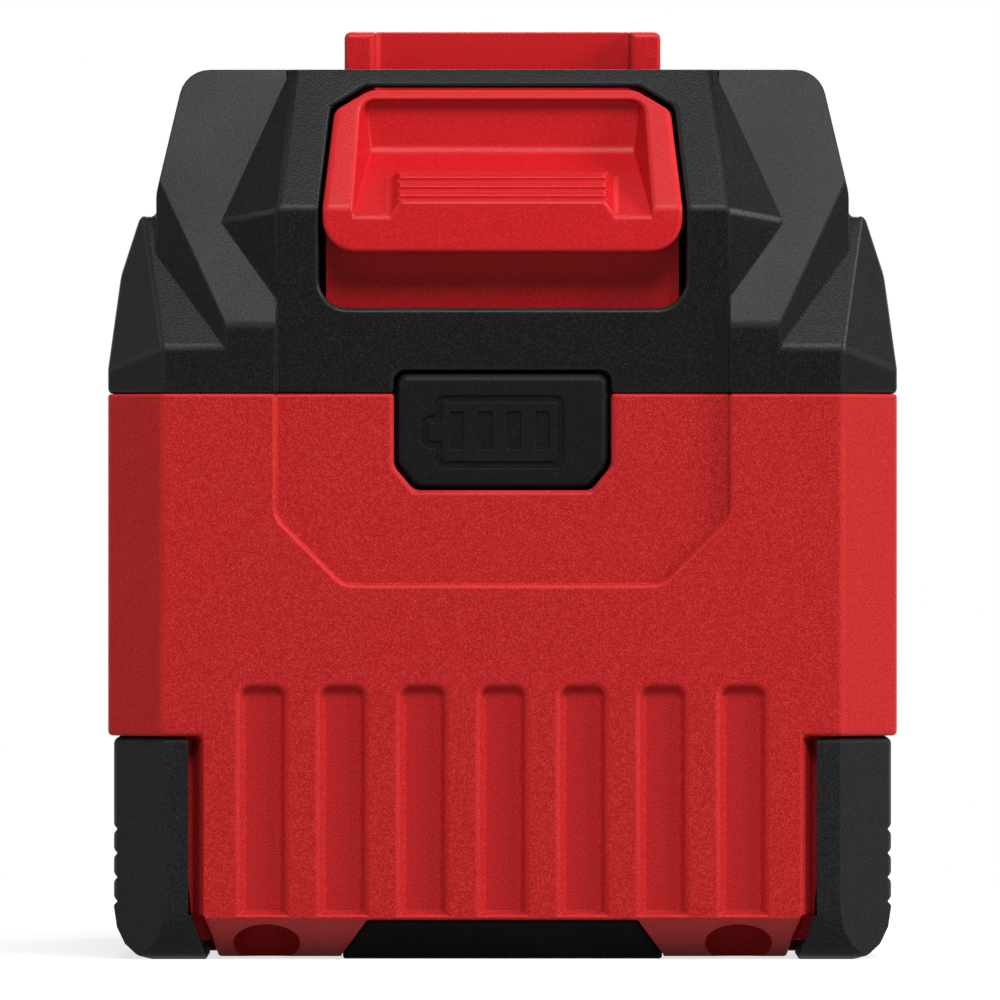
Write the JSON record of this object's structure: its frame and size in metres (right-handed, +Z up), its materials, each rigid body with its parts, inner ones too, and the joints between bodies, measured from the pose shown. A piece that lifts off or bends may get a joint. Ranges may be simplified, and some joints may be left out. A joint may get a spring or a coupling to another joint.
{
  "type": "power tool battery pack",
  "caption": "Slide-on battery pack for cordless tools: red fluted case with black corner bumpers, black cover with a rail, sprung release latch and charge gauge button.",
  "frame": {"origin": "middle of the base, on the surface the pack stands on", "axes": "+Z up, -Y towards the front with the latch and the gauge, +X to the right seen from the front"},
  "size_m": [0.082, 0.126, 0.0966],
  "materials": {
    "case_red": "finely textured matte",
    "cover_black": "finely textured satin",
    "bumper_black": "satin",
    "latch_red": "satin",
    "gauge_black": "satin",
    "screw_steel": "zinc plated",
    "spring_steel": "bright wire",
    "nickel": "rolled strip",
    "contact_metal": "stamped strip",
    "cell_wrap": "shrink sleeve",
    "holder_grey": "moulded",
    "board_green": "solder mask",
    "fibre": "pressed sheet",
    "lamp": "clear",
    "switch_grey": "moulded",
    "part_black": "moulded"
  },
  "bodies": {
    "pack": {"lower_case": "case_red", "base_pad": "bumper_black", "bumper_front_right": "bumper_black", "bumper_front_left": "bumper_black", "bumper_rear_right": "bumper_black", "bumper_rear_left": "bumper_black", "upper_cover": "cover_black", "case_screws": "screw_steel", "latch_springs": "spring_steel", "gauge_board": "board_green", "gauge_lamps": "lamp", "tact_switch": "switch_grey", "gauge_header": "part_black", "cell_1": "cell_wrap", "cell_2": "cell_wrap", "cell_3": "cell_wrap", "cell_4": "cell_wrap", "cell_5": "cell_wrap", "cell_6": "cell_wrap", "cell_7": "cell_wrap", "cell_8": "cell_wrap", "cell_9": "cell_wrap", "cell_10": "cell_wrap", "cell_holder_right": "holder_grey", "cell_holder_left": "holder_grey", "bus_negative": "nickel", "bus_link_1": "nickel", "bus_link_2": "nickel", "bus_link_3": "nickel", "bus_link_4": "nickel", "bus_positive": "nickel", "end_insulator_left": "fibre", "end_insulator_right": "fibre", "main_board": "board_green", "board_screws": "screw_steel", "terminal_block": "part_black", "contact_negative": "contact_metal", "contact_data_1": "contact_metal", "contact_data_2": "contact_metal", "contact_data_3": "contact_metal", "contact_positive": "contact_metal", "power_transistors": "part_black", "controller_chip": "part_black", "thermistor": "part_black"},
    "latch": {"release_latch": "latch_red"},
    "gauge": {"gauge_button": "gauge_black"},
    "switch": {"switch_plunger": "part_black"}
  },
  "joints": [
    {"name": "latch_press", "type": "slide", "parent": "pack", "child": "latch", "axis": [0, 0, -1], "range_m": [0, 0.005], "stiffness_N_per_m": 1600, "deforming": ["latch_springs"]},
    {"name": "gauge_press", "type": "slide", "parent": "pack", "child": "gauge", "axis": [0, 1, 0], "range_m": [0, 0.0008], "stiffness_N_per_m": 1500},
    {"name": "switch_press", "type": "slide", "parent": "pack", "child": "switch", "axis": [0, 1, 0], "range_m": [0, 0.0008]}
  ],
  "couplings": [
    {"joint": "switch_press", "follows": "gauge_press", "ratio": 1}
  ]
}
